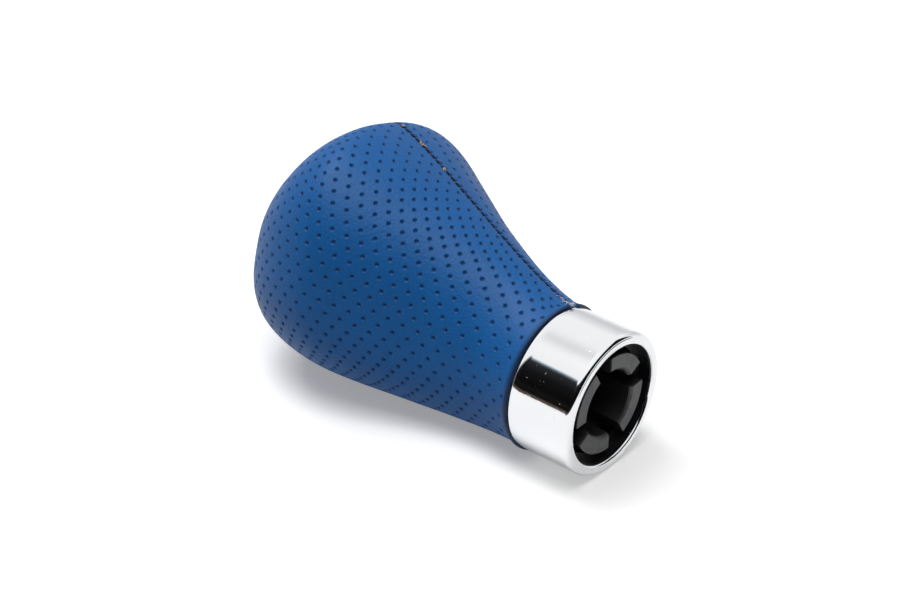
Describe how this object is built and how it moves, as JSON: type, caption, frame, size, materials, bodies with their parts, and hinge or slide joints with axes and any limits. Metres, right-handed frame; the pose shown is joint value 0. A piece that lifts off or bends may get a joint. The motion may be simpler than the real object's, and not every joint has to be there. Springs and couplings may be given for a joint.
{
  "type": "gear shift knob",
  "caption": "Leather-covered gear shift knob whose screwed collar closes a collet on the gear lever.",
  "frame": {"origin": "on the lever's axis, at the end of the collet's bore where the lever goes in", "axes": "+Z along the gear lever towards the knob's crown, +X towards the side that carries the seam"},
  "size_m": [0.0519, 0.0526, 0.0881],
  "materials": {
    "core": "rigid moulded foam, as cast",
    "sleeve": "filled nylon, satin",
    "leather": "smooth blue leather with rows of small pressed dimples",
    "thread": "twisted polyester thread",
    "collet": "moulded nylon, satin",
    "nut": "moulded plastic, satin black",
    "plating": "bright plated, polished"
  },
  "bodies": {
    "root": {"moulded_core": "core", "lever_sleeve": "sleeve", "leather_cover": "leather", "seam_thread": "thread"},
    "collet": {"collet": "collet"},
    "collar": {"collar_nut": "nut", "chrome_collar": "plating"}
  },
  "joints": [
    {"name": "collet_slide", "type": "slide", "parent": "root", "child": "collet", "axis": [0, 0, -1], "range_m": [0, 0.005]},
    {"name": "collar_turn", "type": "hinge", "parent": "collet", "child": "collar", "pos_m": [0, 0, 0], "axis": [0, 0, -1], "range_deg": [0, 900]}
  ],
  "couplings": [
    {"joint": "collet_slide", "follows": "collar_turn", "m_per_rad": 0.00031831}
  ]
}
